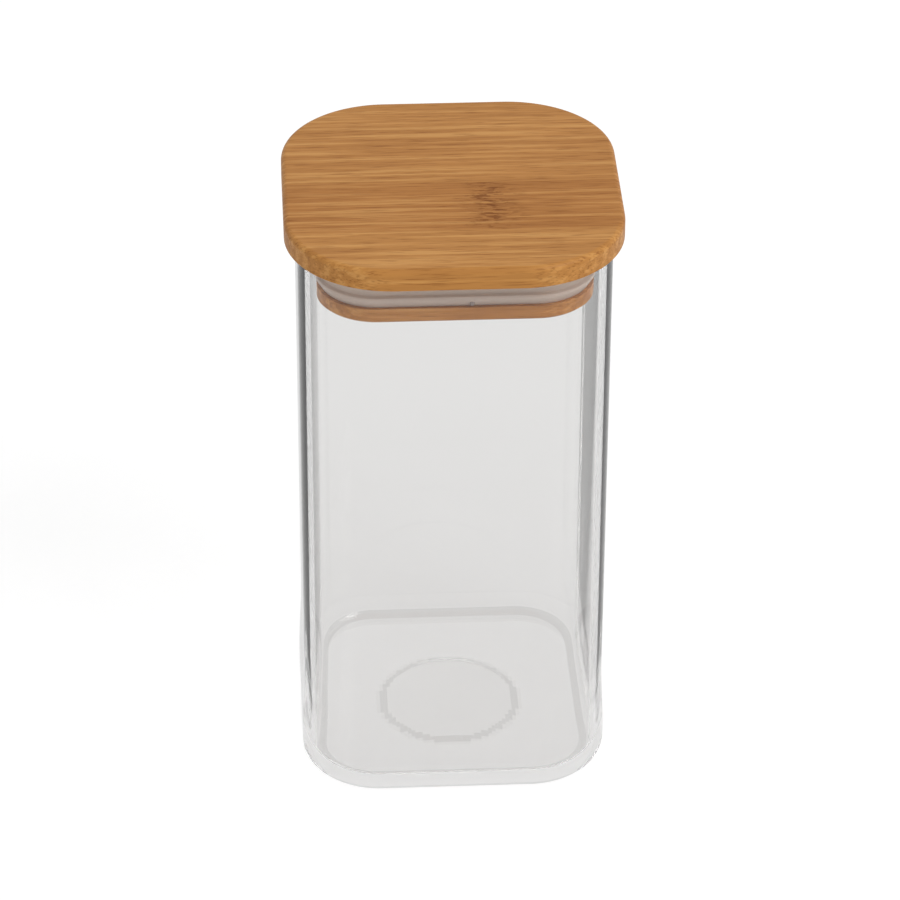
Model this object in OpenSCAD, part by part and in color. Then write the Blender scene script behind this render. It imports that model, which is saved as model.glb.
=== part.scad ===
// Square glass storage jar with a laminated bamboo lid and a silicone lip seal.
// Origin: centre of the jar's base, on the surface it stands on. +Z is up, the front faces -Y.

/* [Glass jar] */
// Outside width of the square jar at its mouth
jar_w = 70; // [66:0.5:80]
// Height of the glass, from the base to the rim
jar_h = 140; // [90:1:180]
// Outside radius of the jar's upright corners
jar_corner_r = 17.5; // [16:0.5:19]
// Thickness of the glass wall
wall_t = 2.2; // [1.8:0.1:2.4]
// Thickness of the glass floor
floor_t = 3.2; // [2.8:0.1:5]
// How far the heel stands proud of the wall above it
heel_bulge = 0.7; // [0.4:0.1:1]
// Height at which the bulge has faded back into the wall
heel_top = 26; // [20:1:40]
// Radius of the heel, where the side turns under
heel_r = 4.5; // [3.5:0.25:5.5]
// Radius where the floor meets the inside of the wall
inner_heel_r = 3; // [2:0.25:4]
// Radius of the fire-polished edges of the rim
rim_r = 0.9; // [0.5:0.05:0.95]

/* [Push-up under the base] */
// Radius of the round dish under the floor
dish_r = 16; // [10:0.5:20]
// Depth of the dish
dish_h = 0.8; // [0.4:0.1:1.5]

/* [Bamboo lid] */
// Width of the square cap, which overhangs the glass
cap_w = 75.6; // [75:0.2:78]
// Thickness of the cap
cap_t = 5; // [4:0.2:8]
// Radius of the cap's upright corners
cap_corner_r = 24; // [20:0.5:28]
// Radius of the eased edge round the top of the cap
cap_edge_r = 1.3; // [0.6:0.1:1.8]
// Width of one bamboo strip in the board
strip_w = 20.6; // [19:0.2:22]
// Width of the lower rim of the plug
rim_w = 62; // [61:0.2:62.4]
// Depth of the lower rim of the plug
rim_t = 3.6; // [3:0.1:5]
// Bevel along the bottom edge of the plug
rim_bevel = 0.6; // [0.3:0.1:1]
// Width of the neck of the plug, inside the seal
neck_w = 57.6; // [57:0.2:58.4]
// Depth of the neck, which is the height of the seal
neck_t = 8.6; // [7:0.2:10]

/* [Silicone seal] */
// Gap left between the seal's lips and the glass
lip_gap = 0.15; // [0.1:0.05:0.3]
// Thickness of a lip at its tip
lip_t = 0.5; // [0.4:0.05:0.7]
// Thickness of the band that grips the neck
band_t = 1.4; // [1.2:0.1:1.5]
// Place of the moulding pip along the front of the seal
pip_x = 3; // [-8:0.5:8]

/* [Smoothness] */
// Number of facets in a full circle on screen
facets = 96; // [48:8:160]

/* [Hidden] */
$fn = facets;

// The upright corners of the jar, the plug and the seal share these centres
corner_c = jar_w / 2 - jar_corner_r;
bore_u = jar_corner_r - wall_t;
heel_u = jar_corner_r + heel_bulge;
neck_u = neck_w / 2 - corner_c;
lip_u = bore_u - lip_gap;
band_u = neck_u + band_t;
neck_z = jar_h - neck_t;
plug_z = neck_z - rim_t;
heel_steps = 8;
pip_r = 0.6;
pip_h = 0.9;
whole_board = 100;

// Square plate with round upright corners, its underside at z = 0
module rounded_plate(width, corner_r, thick) {
    c = width / 2 - corner_r;
    linear_extrude(thick) union() {
        square([width, 2 * c], center = true);
        square([2 * c, width], center = true);
        for (x = [-c, c], y = [-c, c]) translate([x, y]) circle(corner_r);
    }
}

// Carries a section round a rounded square: four straight sides and four quarter turns.
// The section's own x is the distance out from the corner centres, its y is the height.
module sweep_round(c) {
    for (turn = [0 : 90 : 270]) rotate([0, 0, turn]) {
        translate([c, c, 0]) rotate_extrude(angle = 90) children();
        translate([c, c, 0]) rotate([90, 0, 0]) linear_extrude(2 * c) children();
    }
}

// Outline of the glass wall: easing out from the wall to the heel as a cosine wave
function heel_ease(i) = [
    jar_corner_r + heel_bulge * (1 + cos(180 * i / heel_steps)) / 2,
    heel_r + (heel_top - heel_r) * i / heel_steps
];

// Section through the outside of the jar, from the corner centres out
module jar_outside_section() {
    square([heel_u - heel_r, heel_top]);
    intersection() {
        translate([heel_u - heel_r, heel_r]) circle(heel_r);
        translate([heel_u - heel_r, 0]) square(heel_r);
    }
    polygon([
        [0, heel_r],
        for (i = [0 : heel_steps]) heel_ease(i),
        [jar_corner_r, jar_h - rim_r],
        [0, jar_h - rim_r]
    ]);
    square([jar_corner_r - rim_r, jar_h]);
    translate([jar_corner_r - rim_r, jar_h - rim_r]) circle(rim_r);
}

// Section through the room inside the jar, with its round inner heel and eased rim
module jar_inside_section() {
    translate([0, floor_t]) square([bore_u - inner_heel_r, jar_h]);
    translate([0, floor_t + inner_heel_r]) square([bore_u, jar_h]);
    translate([bore_u - inner_heel_r, floor_t + inner_heel_r]) circle(inner_heel_r);
    difference() {
        translate([0, jar_h - rim_r]) square([bore_u + rim_r, 2 * rim_r]);
        translate([bore_u + rim_r, jar_h - rim_r]) circle(rim_r);
    }
}

// Clear glass: a moulded square jar with a heavy heel and a dished base
module glass_jar() {
    color([0.86, 0.88, 0.87, 0.35]) difference() {
        union() {
            sweep_round(corner_c) difference() {
                jar_outside_section();
                jar_inside_section();
            }
            translate([-corner_c, -corner_c, 0]) cube([2 * corner_c, 2 * corner_c, floor_t]);
        }
        translate([0, 0, -dish_h]) cylinder(h = 2 * dish_h, r1 = dish_r + 1.5, r2 = dish_r - 1.5);
    }
}

// Section through the seal: a band on the neck, a flared upper lip and a small lower lip
module seal_section() {
    polygon([
        [neck_u, neck_z],
        [band_u, neck_z],
        [lip_u - 1.2, neck_z + 2.4],
        [lip_u - 1.3, neck_z + 3],
        [band_u + 0.3, neck_z + 3.2],
        [band_u + 0.4, neck_z + 4],
        [lip_u, jar_h - 1.4],
        [lip_u - lip_t, jar_h - 0.8],
        [band_u, jar_h - 2.4],
        [band_u, jar_h],
        [neck_u, jar_h]
    ]);
}

// Translucent silicone: one moulded ring, stretched over the neck of the plug
module seal_ring() {
    color([0.82, 0.8, 0.77, 0.8]) union() {
        sweep_round(corner_c) seal_section();
        translate([pip_x, -corner_c - band_u, neck_z + 1]) rotate([90, 0, 0])
            cylinder(h = pip_h, r = pip_r);
    }
}

// One strip of a board: the part of the children between two seams
module strip(from_y, to_y) {
    intersection() {
        children();
        translate([-whole_board / 2, from_y, 0]) cube([whole_board, to_y - from_y, jar_h + cap_t]);
    }
}

// The cap board before it is split into strips, with its eased top edge
module cap_board() {
    c = cap_w / 2 - cap_corner_r;
    translate([0, 0, jar_h]) {
        rounded_plate(cap_w - 2 * cap_edge_r, cap_corner_r - cap_edge_r, cap_t);
        sweep_round(c) {
            square([cap_corner_r, cap_t - cap_edge_r]);
            translate([cap_corner_r - cap_edge_r, cap_t - cap_edge_r]) circle(cap_edge_r);
        }
    }
}

// The neck board, which the seal grips
module neck_board() {
    translate([0, 0, neck_z]) rounded_plate(neck_w, neck_u, neck_t);
}

// The rim board, which keeps the seal from slipping off
module rim_board() {
    rim_u = rim_w / 2 - corner_c;
    translate([0, 0, plug_z]) {
        rounded_plate(rim_w - 2 * rim_bevel, rim_u - rim_bevel, rim_t);
        sweep_round(corner_c) polygon([
            [0, 0],
            [rim_u - rim_bevel, 0],
            [rim_u, rim_bevel],
            [rim_u, rim_t],
            [0, rim_t]
        ]);
    }
}

// Four strips, grain along X, glued edge to edge with seams at 0 and one strip either side
module cap_strip_front() {
    color("burlywood") strip(-whole_board / 2, -strip_w) cap_board();
}
module cap_strip_knuckle() {
    color("peru") strip(-strip_w, 0) cap_board();
}
module cap_strip_middle() {
    color("burlywood") strip(0, strip_w) cap_board();
}
module cap_strip_back() {
    color("tan") strip(strip_w, whole_board / 2) cap_board();
}

// Three strips, their seams half a strip away from those above and below
module neck_strip_front() {
    color("tan") strip(-whole_board / 2, -strip_w / 2) neck_board();
}
module neck_strip_middle() {
    color("burlywood") strip(-strip_w / 2, strip_w / 2) neck_board();
}
module neck_strip_back() {
    color("tan") strip(strip_w / 2, whole_board / 2) neck_board();
}

// Four strips, seams in line with those of the cap
module rim_strip_front() {
    color("peru") strip(-whole_board / 2, -strip_w) rim_board();
}
module rim_strip_front_middle() {
    color("burlywood") strip(-strip_w, 0) rim_board();
}
module rim_strip_back_middle() {
    color("peru") strip(0, strip_w) rim_board();
}
module rim_strip_back() {
    color("burlywood") strip(strip_w, whole_board / 2) rim_board();
}

glass_jar();
seal_ring();
cap_strip_front();
cap_strip_knuckle();
cap_strip_middle();
cap_strip_back();
neck_strip_front();
neck_strip_middle();
neck_strip_back();
rim_strip_front();
rim_strip_front_middle();
rim_strip_back_middle();
rim_strip_back();
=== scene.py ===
import bpy, bmesh, math
from mathutils import Matrix, Vector


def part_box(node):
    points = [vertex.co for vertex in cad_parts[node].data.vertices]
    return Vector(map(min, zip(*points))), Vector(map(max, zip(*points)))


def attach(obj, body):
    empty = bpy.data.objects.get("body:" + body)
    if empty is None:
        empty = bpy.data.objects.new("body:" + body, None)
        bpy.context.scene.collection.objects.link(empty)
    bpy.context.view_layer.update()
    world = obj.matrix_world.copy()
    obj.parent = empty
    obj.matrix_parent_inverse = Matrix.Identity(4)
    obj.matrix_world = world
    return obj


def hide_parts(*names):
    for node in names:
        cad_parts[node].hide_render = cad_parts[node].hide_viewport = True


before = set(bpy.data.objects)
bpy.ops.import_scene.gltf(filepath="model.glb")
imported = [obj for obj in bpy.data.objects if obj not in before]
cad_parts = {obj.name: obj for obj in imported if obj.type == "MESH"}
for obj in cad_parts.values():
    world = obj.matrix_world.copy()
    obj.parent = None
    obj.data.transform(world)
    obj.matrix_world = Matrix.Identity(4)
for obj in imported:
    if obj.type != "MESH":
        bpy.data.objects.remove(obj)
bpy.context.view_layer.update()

# The camera stands a little to the left of the jar's front and looks down on it
# through a long lens, as the object was photographed.
MM = 0.001
CAMERA_AZIMUTH = math.radians(-3.2)
CAMERA_ELEVATION = math.radians(33.5)
CAMERA_ROLL = math.radians(0.27)
CAMERA_DISTANCE = 1006 * MM
CAMERA_TARGET_HEIGHT = 73.4 * MM
CAMERA_LENS = 173
to_camera = Vector((
    math.sin(CAMERA_AZIMUTH) * math.cos(CAMERA_ELEVATION),
    -math.cos(CAMERA_AZIMUTH) * math.cos(CAMERA_ELEVATION),
    math.sin(CAMERA_ELEVATION),
))
level_right = Vector((math.cos(CAMERA_AZIMUTH), math.sin(CAMERA_AZIMUTH), 0))
level_up = to_camera.cross(level_right)
right = level_right * math.cos(CAMERA_ROLL) + level_up * math.sin(CAMERA_ROLL)
up = to_camera.cross(right)
camera_data = bpy.data.cameras.new("camera")
camera_data.lens = CAMERA_LENS
camera = bpy.data.objects.new("camera", camera_data)
place = Matrix((right, up, to_camera)).transposed().to_4x4()
place.translation = Vector((0, 0, CAMERA_TARGET_HEIGHT)) + to_camera * CAMERA_DISTANCE
camera.matrix_world = place
bpy.context.scene.collection.objects.link(camera)
bpy.context.scene.camera = camera
bpy.context.scene.view_settings.view_transform = "Standard"


# The jar is clear glass, pressed with a heavy heel and a shallow round dish under
# the floor. The rim is fire-polished, and a faint grey tint shows through two walls.
class Value:
    """A number on a shader socket, which Python's operators turn into Math nodes."""

    def __init__(self, tree, socket):
        self.tree = tree
        self.socket = socket

    def math(self, operation, *others):
        node = self.tree.nodes.new("ShaderNodeMath")
        node.operation = operation
        for slot, value in zip(node.inputs, (self, *others)):
            connect(self.tree, slot, value)
        return Value(self.tree, node.outputs[0])

    def __add__(self, other):
        return self.math("ADD", other)

    def __sub__(self, other):
        return self.math("SUBTRACT", other)

    def __mul__(self, other):
        return self.math("MULTIPLY", other)

    def __truediv__(self, other):
        return self.math("DIVIDE", other)

    def __rsub__(self, other):
        node = self.tree.nodes.new("ShaderNodeMath")
        node.operation = "SUBTRACT"
        connect(self.tree, node.inputs[0], other)
        connect(self.tree, node.inputs[1], self)
        return Value(self.tree, node.outputs[0])

    __radd__ = __add__


def connect(tree, slot, value):
    """Gives a socket a constant, or a link from another node."""
    if isinstance(value, Value):
        tree.links.new(value.socket, slot)
    else:
        slot.default_value = value


def ray_kind(tree, *kinds):
    """Is 1 where a ray is of one of these kinds of the Light Path node, and 0 elsewhere."""
    outputs = tree.nodes.new("ShaderNodeLightPath").outputs
    found = Value(tree, outputs[kinds[0]])
    for kind in kinds[1:]:
        found = found.math("MAXIMUM", Value(tree, outputs[kind]))
    return found


class Finish:
    """A material with its surface shader, and one way to add any other node."""

    # A Mix node's colour sockets share their names with its others, so they go by number
    MIX_SHARE, MIX_FIRST, MIX_SECOND, MIX_RESULT = 0, 6, 7, 2

    def __init__(self, name, **constants):
        self.material = bpy.data.materials.new(name)
        self.material.use_nodes = True
        self.tree = self.material.node_tree
        self.surface = self.tree.nodes["Principled BSDF"]
        self.set(**constants)

    def set(self, **values):
        for name, value in values.items():
            connect(self.tree, self.surface.inputs[name.replace("_", " ")], value)

    def node(self, kind, output=0, **sockets):
        node = self.tree.nodes.new("ShaderNode" + kind)
        for name, value in sockets.items():
            connect(self.tree, node.inputs[name.replace("_", " ")], value)
        return Value(self.tree, node.outputs[output])

    def ramp(self, value, low, high):
        """Goes from 0 to 1 as a value goes from low to high, which may be the lower one."""
        return self.node("MapRange", Value=value, From_Min=low, From_Max=high)

    def blend(self, share, first, second):
        """A colour between two others, by a share from 0 to 1."""
        mix = self.tree.nodes.new("ShaderNodeMix")
        mix.data_type = "RGBA"
        connect(self.tree, mix.inputs[self.MIX_SHARE], share)
        connect(self.tree, mix.inputs[self.MIX_FIRST], first)
        connect(self.tree, mix.inputs[self.MIX_SECOND], second)
        return Value(self.tree, mix.outputs[self.MIX_RESULT])

    def lay_over(self, kind, share, **sockets):
        """Mixes another shader over the surface, by a share from 0 to 1."""
        mix = self.tree.nodes.new("ShaderNodeMixShader")
        share_slot, under, over = mix.inputs
        connect(self.tree, share_slot, share)
        self.tree.links.new(self.surface.outputs[0], under)
        self.tree.links.new(self.node(kind, **sockets).socket, over)
        self.tree.links.new(mix.outputs[0], self.tree.nodes["Material Output"].inputs["Surface"])


def arc(centre_u, centre_z, radius, start, stop, steps):
    """Points of an arc of a section, from one angle to another in degrees."""
    turns = [math.radians(start + (stop - start) * i / steps) for i in range(steps + 1)]
    return [(centre_u + radius * math.cos(t), centre_z + radius * math.sin(t)) for t in turns]


MERGE_DISTANCE = 0.001 * MM


def carry_round(section, corner, closed, corner_steps, side_steps):
    """Carries a section round a rounded square whose corner centres lie at +-corner."""
    bm = bmesh.new()
    verts = [bm.verts.new((corner + u, corner, z)) for u, z in section]
    edges = [bm.edges.new(pair) for pair in zip(verts, verts[1:])]
    if closed:
        edges.append(bm.edges.new((verts[-1], verts[0])))
    front = verts + edges
    for turn in range(4):
        quarter = Matrix.Rotation(turn * math.pi / 2, 3, "Z")
        spun = bmesh.ops.spin(
            bm, geom=front, cent=quarter @ Vector((corner, corner, 0)), axis=(0, 0, 1),
            dvec=(0, 0, 0), angle=math.pi / 2, steps=corner_steps, use_merge=False,
            use_duplicate=False, use_normal_flip=False,
        )
        front = spun["geom_last"]
        step = quarter @ Vector((-2 * corner / side_steps, 0, 0))
        for _ in range(side_steps):
            edges = [e for e in front if isinstance(e, bmesh.types.BMEdge)]
            grown = bmesh.ops.extrude_edge_only(bm, edges=edges)["geom"]
            moved = [v for v in grown if isinstance(v, bmesh.types.BMVert)]
            bmesh.ops.translate(bm, verts=moved, vec=step)
            ahead = set(moved)
            far = [e for e in grown if isinstance(e, bmesh.types.BMEdge) and set(e.verts) <= ahead]
            front = moved + far
    bmesh.ops.remove_doubles(bm, verts=bm.verts, dist=MERGE_DISTANCE)
    return bm


def finish_piece(bm, name, material, body, sharp_angle=50):
    """Turns a bmesh into a piece that rides on a body, smooth but for its sharp edges."""
    bmesh.ops.recalc_face_normals(bm, faces=bm.faces)
    for face in bm.faces:
        face.smooth = True
    for edge in bm.edges:
        edge.smooth = edge.calc_face_angle(0) < math.radians(sharp_angle)
    mesh = bpy.data.meshes.new(name)
    bm.to_mesh(mesh)
    bm.free()
    mesh.materials.append(material)
    piece = bpy.data.objects.new(name, mesh)
    bpy.context.scene.collection.objects.link(piece)
    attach(piece, body)
    return piece


HEEL_BULGE = 0.7 * MM
CORNER_RADIUS = 17.5 * MM
WALL = 2.2 * MM
FLOOR = 3.2 * MM
HEEL_RADIUS = 4.5 * MM
HEEL_TOP = 26 * MM
HEEL_STEPS = 16
INNER_HEEL_RADIUS = 3 * MM
RIM_RADIUS = 0.9 * MM
DISH_RADIUS = 16 * MM
DISH_SLOPE = 3 * MM
DISH_DEPTH = 0.8 * MM
HEEL_ARC_STEPS = 12
INNER_HEEL_ARC_STEPS = 10
RIM_ARC_STEPS = 8
CORNER_STEPS = 20
SIDE_STEPS = 40
glass_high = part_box("glass_jar")[1]
corner_centre = glass_high.x - HEEL_BULGE - CORNER_RADIUS
bore = CORNER_RADIUS - WALL
mouth = glass_high.z

section = [(0, 0)]
section += arc(
    CORNER_RADIUS + HEEL_BULGE - HEEL_RADIUS, HEEL_RADIUS, HEEL_RADIUS, -90, 0, HEEL_ARC_STEPS,
)
for i in range(1, HEEL_STEPS + 1):
    fade = (1 + math.cos(math.pi * i / HEEL_STEPS)) / 2
    section.append((
        CORNER_RADIUS + HEEL_BULGE * fade,
        HEEL_RADIUS + (HEEL_TOP - HEEL_RADIUS) * i / HEEL_STEPS,
    ))
section += arc(CORNER_RADIUS - RIM_RADIUS, mouth - RIM_RADIUS, RIM_RADIUS, 0, 90, RIM_ARC_STEPS)
section += arc(bore + RIM_RADIUS, mouth - RIM_RADIUS, RIM_RADIUS, 90, 180, RIM_ARC_STEPS)
section += arc(
    bore - INNER_HEEL_RADIUS, FLOOR + INNER_HEEL_RADIUS, INNER_HEEL_RADIUS, 0, -90,
    INNER_HEEL_ARC_STEPS,
)
section.append((0, FLOOR))

jar = carry_round(section, corner_centre, False, CORNER_STEPS, SIDE_STEPS)
for height in (0, FLOOR):
    plate = bmesh.ops.create_grid(
        jar, x_segments=SIDE_STEPS, y_segments=SIDE_STEPS, size=corner_centre,
        matrix=Matrix.Translation((0, 0, height)),
    )
    if height == 0:
        for vert in plate["verts"]:
            slope = (DISH_RADIUS + DISH_SLOPE / 2 - vert.co.xy.length) / DISH_SLOPE
            slope = min(max(slope, 0), 1)
            vert.co.z = DISH_DEPTH * slope * slope * (3 - 2 * slope)
bmesh.ops.remove_doubles(jar, verts=jar.verts, dist=MERGE_DISTANCE)

# The body bends light less than solid glass does, so its edges stay as pale as a thin
# wall's, and a clear coat keeps the bright highlights. Light falls through both.
LIGHT_LET_THROUGH = 0.82
WALL_INDEX = 1.11
COAT_INDEX = 1.5
COAT_SHARE = 0.7
HEAVY_BELOW = 70 * MM
WALL_TINT = (0.965, 0.962, 0.957, 1)
HEAVY_TINT = (0.915, 0.911, 0.906, 1)
# Painted shade: a darker tint for the tight curves round the floor and the dish, in place of the
# dark lines refraction draws there
FILLET_PAINTED_SHADE = (0.72, 0.715, 0.71, 1)


def clear_glass(name, touching=0.0, **tint):
    """Clear glass that lets light through, and shows what it touches by a share from 0 to 1."""
    glass = Finish(
        name, Roughness=0.0, IOR=WALL_INDEX, Transmission_Weight=1.0,
        Coat_Weight=COAT_SHARE, Coat_Roughness=0.0, Coat_IOR=COAT_INDEX, **tint,
    )
    passing = ray_kind(glass.tree, "Is Shadow Ray", "Is Diffuse Ray") * LIGHT_LET_THROUGH
    if touching:
        inside = ray_kind(glass.tree, "Is Transmission Ray", "Is Glossy Ray")
        passing = passing.math("MAXIMUM", inside * touching)
    glass.lay_over("BsdfTransparent", passing)
    return glass


# The tint of the walls grows towards the thick heel
wall_glass = clear_glass("clear_glass")
height = wall_glass.node("SeparateXYZ", "Z", Vector=wall_glass.node("TexCoord", "Object"))
heavy = (1 - height / HEAVY_BELOW).math("MAXIMUM", 0.0)
wall_glass.set(Base_Color=wall_glass.blend(heavy, WALL_TINT, HEAVY_TINT))
jar_piece = finish_piece(jar, "jar_glass", wall_glass.material, "jar")
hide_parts("glass_jar")

# The tight curves, round the floor and round the dish, get painted shade: a darker tint that
# stands in for the dark lines refraction draws there.
# The flat base rests on the floor and shows it, so no light stays caught in the glass.
BASE_TOUCHING = 0.85
FILLET_SLOT = 1
BASE_SLOT = 2
FILLET_LOW = 0.02 * MM
FILLET_HIGH = 1.2 * MM
FILLET_TURNED_UP = 0.05
DISH_RING_HALF = DISH_SLOPE / 4
BASE_HIGH = 0.01 * MM
BASE_TURNED_DOWN = -0.99
jar_slots = jar_piece.data.materials
jar_slots.append(clear_glass("fillet_glass_painted_shade", Base_Color=FILLET_PAINTED_SHADE).material)
jar_slots.append(clear_glass("base_glass", BASE_TOUCHING, Base_Color=HEAVY_TINT).material)
for face in jar_piece.data.polygons:
    above_floor = face.center.z - FLOOR
    in_fillet = face.normal.z > FILLET_TURNED_UP and FILLET_LOW < above_floor < FILLET_HIGH
    off_dish_edge = abs(face.center.xy.length - DISH_RADIUS)
    in_dish_slope = face.center.z < DISH_DEPTH and off_dish_edge < DISH_RING_HALF
    if in_fillet or in_dish_slope:
        face.material_index = FILLET_SLOT
    if face.normal.z < BASE_TURNED_DOWN and face.center.z < BASE_HIGH:
        face.material_index = BASE_SLOT


# The seal is one moulded ring of translucent silicone, stretched over the plug's neck.
# Its upper lip flares out to the glass, and a small round pip marks the mould's gate.
BAND_THICK = 1.4 * MM
NECK_HALF = 28.8 * MM
SEAL_SIDE_STEPS = 8
SEAL_SHARP_ANGLE = 60
BEVELLED_ANGLE = 25
BEVEL = 0.12 * MM
PIP_X = 3 * MM
PIP_UP = 1 * MM
PIP_RADIUS = 0.6 * MM
PIP_TIP = 0.8
PIP_HEIGHT = 0.9 * MM
PIP_SIDES = 24
seal_low, seal_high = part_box("seal_ring")
neck = NECK_HALF - corner_centre
band = neck + BAND_THICK
lip = seal_high.x - corner_centre
foot = seal_low.z

# Each corner of a lip lies so many mm out from a line, and up from the foot or the mouth
LOWER_LIP = ((lip, -1.2, 2.4), (lip, -1.3, 3), (band, 0.3, 3.2), (band, 0.4, 4))
UPPER_LIP = ((lip, 0, -1.4), (lip, -0.5, -0.8), (band, 0, -2.4))
seal_section = [(neck, foot), (band, foot)]
seal_section += [(line + out * MM, foot + rise * MM) for line, out, rise in LOWER_LIP]
seal_section += [(line + out * MM, mouth + rise * MM) for line, out, rise in UPPER_LIP]
seal_section += [(band, mouth), (neck, mouth)]
seal = carry_round(seal_section, corner_centre, True, CORNER_STEPS, SEAL_SIDE_STEPS)
long_edges = [e for e in seal.edges if e.calc_face_angle(0) > math.radians(BEVELLED_ANGLE)]
bmesh.ops.bevel(
    seal, geom=long_edges, offset=BEVEL, segments=2, profile=0.5, material=-1,
    affect="EDGES", clamp_overlap=True,
)
silicone = Finish(
    "silicone",
    Base_Color=(0.72, 0.58, 0.49, 1), Roughness=0.42, IOR=1.41, Transmission_Weight=0.25,
)
seal_piece = finish_piece(
    seal, "lip_seal", silicone.material, "lid", SEAL_SHARP_ANGLE,
)
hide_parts("seal_ring")

pip = bmesh.new()
bmesh.ops.create_cone(
    pip, cap_ends=True, segments=PIP_SIDES, radius1=PIP_RADIUS, radius2=PIP_TIP * PIP_RADIUS,
    depth=PIP_HEIGHT,
    matrix=Matrix.Translation((PIP_X, -corner_centre - band - PIP_HEIGHT / 2, foot + PIP_UP))
    @ Matrix.Rotation(math.pi / 2, 4, "X"),
)
gate = Finish("silicone_gate", Base_Color=(0.3, 0.24, 0.22, 1), Roughness=0.5)
finish_piece(pip, "seal_pip", gate.material, "lid")


# The lid is a bamboo board of three plies, glued up from strips whose fibres run
# along X. Each strip has its own tone; one of the cap's carries a natural knuckle.
LIGHT = (0.57, 0.258, 0.064, 1)
DARK = (0.46, 0.182, 0.036, 1)
FIBRE = (0.22, 0.07, 0.012, 1)
PALE = (0.72, 0.38, 0.12, 1)
PALE_SHARE = 0.45
# How often each pattern repeats in a metre, along the fibres and twice across them
DRIFT_REPEATS = (30, 180, 180)
DASH_REPEATS = (120, 2600, 2600)
BAND_REPEATS = (22, 700, 700)
FLECK_REPEATS = (420, 1500, 900)
# How dark each pattern makes the wood
DASH_DARK = 0.42
BAND_DARK = 0.28
DRIFT_DARK = 0.35
FLECK_DARK = 0.75
KNUCKLE_DARK = 0.16
KNUCKLE_X = 8.2 * MM
KNUCKLE_Y = -10.4 * MM
KNUCKLE_HALF_X = 9 * MM
KNUCKLE_HALF_Y = 11 * MM
KNUCKLE_WANDER = 2.4
KNUCKLE_FADE = 0.3
FLECK_TURN = 0.5
ROUGH_GROUND = 0.42
ROUGH_FIBRE = 0.2
GRAIN_DEPTH = 0.05 * MM


def bamboo(name, tone, seed, knuckle=False):
    """Sanded bamboo: long fibres that show as dashes on the faces and dots on the ends."""
    wood = Finish(name, IOR=1.45, Specular_IOR_Level=0.22)
    place = wood.node("TexCoord", "Object")

    def pattern(shift, repeats, turn=0.0, **noise):
        where = wood.node(
            "Mapping", Vector=place, Location=shift, Rotation=(0, 0, turn), Scale=repeats,
        )
        return wood.node("TexNoise", Vector=where, Scale=1.0, **noise)

    drift = pattern((seed, 0, 0), DRIFT_REPEATS, Detail=2.0)
    fine = pattern((seed, seed, 0), DASH_REPEATS, Detail=2.5, Roughness=0.6)
    coarse = pattern((0, seed, seed), BAND_REPEATS, Detail=3.0, Roughness=0.55)
    dashes = wood.ramp(fine, 0.52, 0.65)
    bands = wood.ramp(coarse, 0.4, 0.66)
    mask = dashes * DASH_DARK + bands * BAND_DARK + (drift - 0.5) * DRIFT_DARK
    if knuckle:
        off_x = (wood.node("SeparateXYZ", "X", Vector=place) - KNUCKLE_X) / KNUCKLE_HALF_X
        off_y = (wood.node("SeparateXYZ", "Y", Vector=place) - KNUCKLE_Y) / KNUCKLE_HALF_Y
        off_line = (off_x + (drift - 0.5) * KNUCKLE_WANDER).math("ABSOLUTE")
        near = (1 - off_line - off_y * off_y * KNUCKLE_FADE).math("MAXIMUM", 0.0)
        flecks = pattern((0, 0, 0), FLECK_REPEATS, FLECK_TURN, Detail=3.0, Distortion=0.6)
        mask = mask + near * (wood.ramp(flecks, 0.5, 0.62) * FLECK_DARK + KNUCKLE_DARK)
    mask = mask.math("MAXIMUM", 0.0).math("MINIMUM", 1.0)
    ground = wood.blend(wood.ramp(coarse, 0.5, 0.36) * PALE_SHARE, tone, PALE)
    wood.set(
        Base_Color=wood.blend(mask, ground, FIBRE),
        Roughness=ROUGH_GROUND + mask * ROUGH_FIBRE,
        Normal=wood.node("Bump", Height=1 - mask, Strength=0.25, Distance=GRAIN_DEPTH),
    )
    return wood.material


# Each strip's share of the dark tone, and the place in the grain that it is cut from
STRIPS = {
    "cap_strip_front": (0.0, 3.1),
    "cap_strip_knuckle": (0.75, 7.7),
    "cap_strip_middle": (0.3, 12.3),
    "cap_strip_back": (0.1, 17.9),
    "neck_strip_front": (0.4, 21.3),
    "neck_strip_middle": (0.2, 26.5),
    "neck_strip_back": (0.5, 31.1),
    "rim_strip_front": (0.9, 37.7),
    "rim_strip_front_middle": (0.3, 41.9),
    "rim_strip_back_middle": (0.7, 46.3),
    "rim_strip_back": (0.2, 53.1),
}
for strip_name, (share, seed) in STRIPS.items():
    tone = tuple(a + (b - a) * share for a, b in zip(LIGHT, DARK))
    has_knuckle = strip_name == "cap_strip_knuckle"
    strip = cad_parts[strip_name]
    strip.data.materials.clear()
    strip.data.materials.append(bamboo(strip_name + "_wood", tone, seed, has_knuckle))


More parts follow.
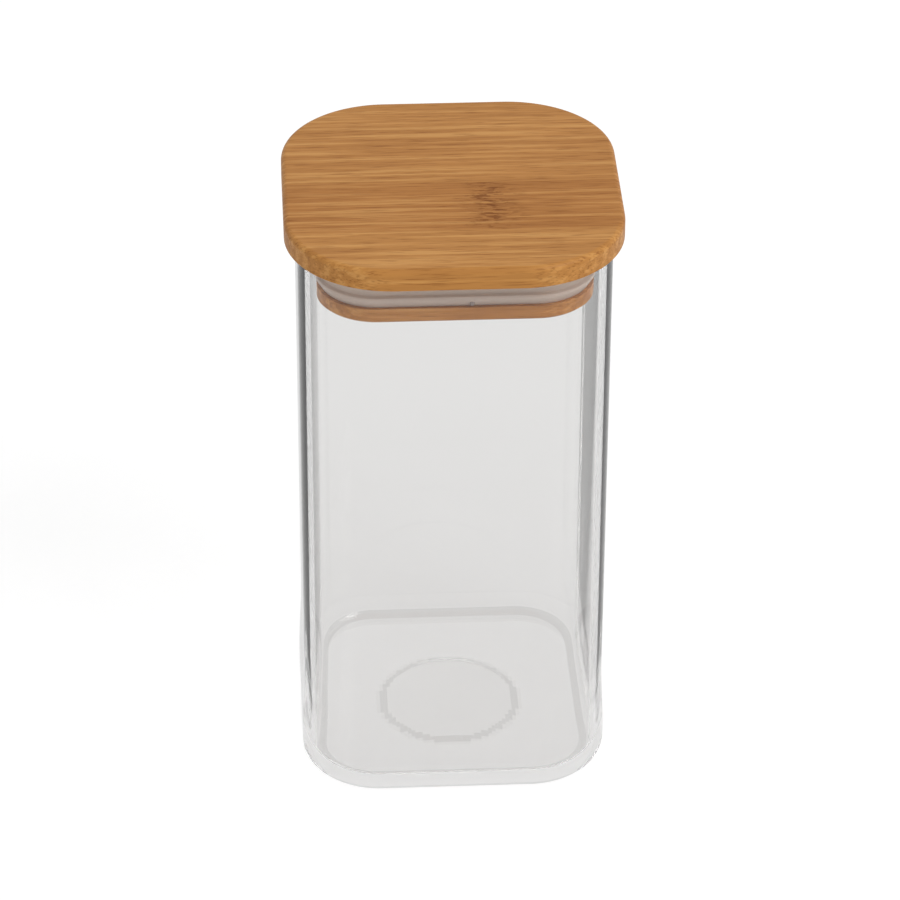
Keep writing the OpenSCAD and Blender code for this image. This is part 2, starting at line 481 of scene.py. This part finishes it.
# The jar stands on a plain white floor under a wide soft light from the right,
# with a paler sky all round. The floor keeps the jar's shadow.
FLOOR_HALF = 4.0
FLOOR_BELOW = 0.05 * MM
SHEET_WHITE = 1.35
SHEET_GREY = 0.86
SHEET_SEEN_SHARE = 0.5
SHEET_IN_GLASS_SHARE = 0.6
SKY_FILL = 0.62
KEY_PLACE = Vector((1.1, -0.9, 1.5))
KEY_SIZE = 0.9
KEY_POWER = 15

floor_mesh = bmesh.new()
bmesh.ops.create_grid(floor_mesh, x_segments=1, y_segments=1, size=FLOOR_HALF)
floor_data = bpy.data.meshes.new("floor")
floor_mesh.to_mesh(floor_data)
floor_mesh.free()
floor = bpy.data.objects.new("floor", floor_data)
floor.location.z = -FLOOR_BELOW
bpy.context.scene.collection.objects.link(floor)
paper = Finish("white_paper", Base_Color=(0.9, 0.9, 0.9, 1), Roughness=0.9, Specular_IOR_Level=0.0)
seen = ray_kind(paper.tree, "Is Camera Ray")
in_glass = ray_kind(paper.tree, "Is Glossy Ray", "Is Transmission Ray")
paper.lay_over(
    "Emission", seen * SHEET_SEEN_SHARE + in_glass * SHEET_IN_GLASS_SHARE,
    Strength=seen * SHEET_WHITE + in_glass * SHEET_GREY,
)
floor_data.materials.append(paper.material)

world = bpy.data.worlds.new("studio")
bpy.context.scene.world = world
world.use_nodes = True
sky = world.node_tree
seen = ray_kind(sky, "Is Camera Ray")
in_glass = ray_kind(sky, "Is Glossy Ray", "Is Transmission Ray")
strength = SKY_FILL + seen * (1 - SKY_FILL) + in_glass * (SHEET_GREY - SKY_FILL)
connect(sky, sky.nodes["Background"].inputs["Strength"], strength)
connect(sky, sky.nodes["Background"].inputs["Color"], (1, 1, 1, 1))

key_data = bpy.data.lights.new("key", "AREA")
key_data.size = KEY_SIZE
key_data.energy = KEY_POWER
key = bpy.data.objects.new("key", key_data)
key.location = KEY_PLACE
key.rotation_euler = KEY_PLACE.to_track_quat("Z", "Y").to_euler()
bpy.context.scene.collection.objects.link(key)
